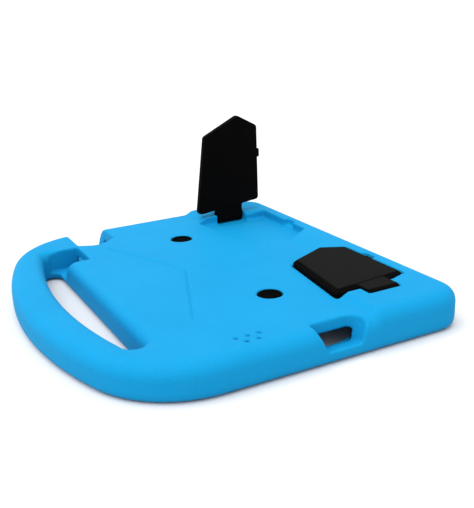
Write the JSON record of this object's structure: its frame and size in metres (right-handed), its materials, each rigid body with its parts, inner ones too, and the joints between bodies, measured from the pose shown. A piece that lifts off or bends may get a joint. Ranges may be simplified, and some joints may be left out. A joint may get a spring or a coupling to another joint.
{
  "type": "tablet case",
  "caption": "Soft moulded bumper case for a small tablet, with an arched carrying handle and two folding stand legs let into its back.",
  "frame": {"origin": "middle of the footprint on the plane that the front rim lies on", "axes": "+Z out of the back, +Y towards the handle, +X to the right-hand side of the back"},
  "size_m": [0.2192, 0.201, 0.0875],
  "materials": {
    "blue_foam": "matte soft foam skin",
    "black_plastic": "fine matte grain",
    "pin_steel": "plain turned"
  },
  "bodies": {
    "case": {"case_shell": "blue_foam", "left_plug": "black_plastic", "right_plug": "black_plastic", "left_hinge_pin": "pin_steel", "right_hinge_pin": "pin_steel"},
    "left_leg": {"left_leg": "black_plastic"},
    "right_leg": {"right_leg": "black_plastic"}
  },
  "joints": [
    {"name": "left_leg_hinge", "type": "hinge", "parent": "case", "child": "left_leg", "pos_m": [-0.0838, -0.0651, 0.0188], "axis": [0, -1, 0], "range_deg": [0, 90]},
    {"name": "right_leg_hinge", "type": "hinge", "parent": "case", "child": "right_leg", "pos_m": [0.0838, -0.0651, 0.0188], "axis": [0, -1, 0], "range_deg": [0, 90]}
  ]
}
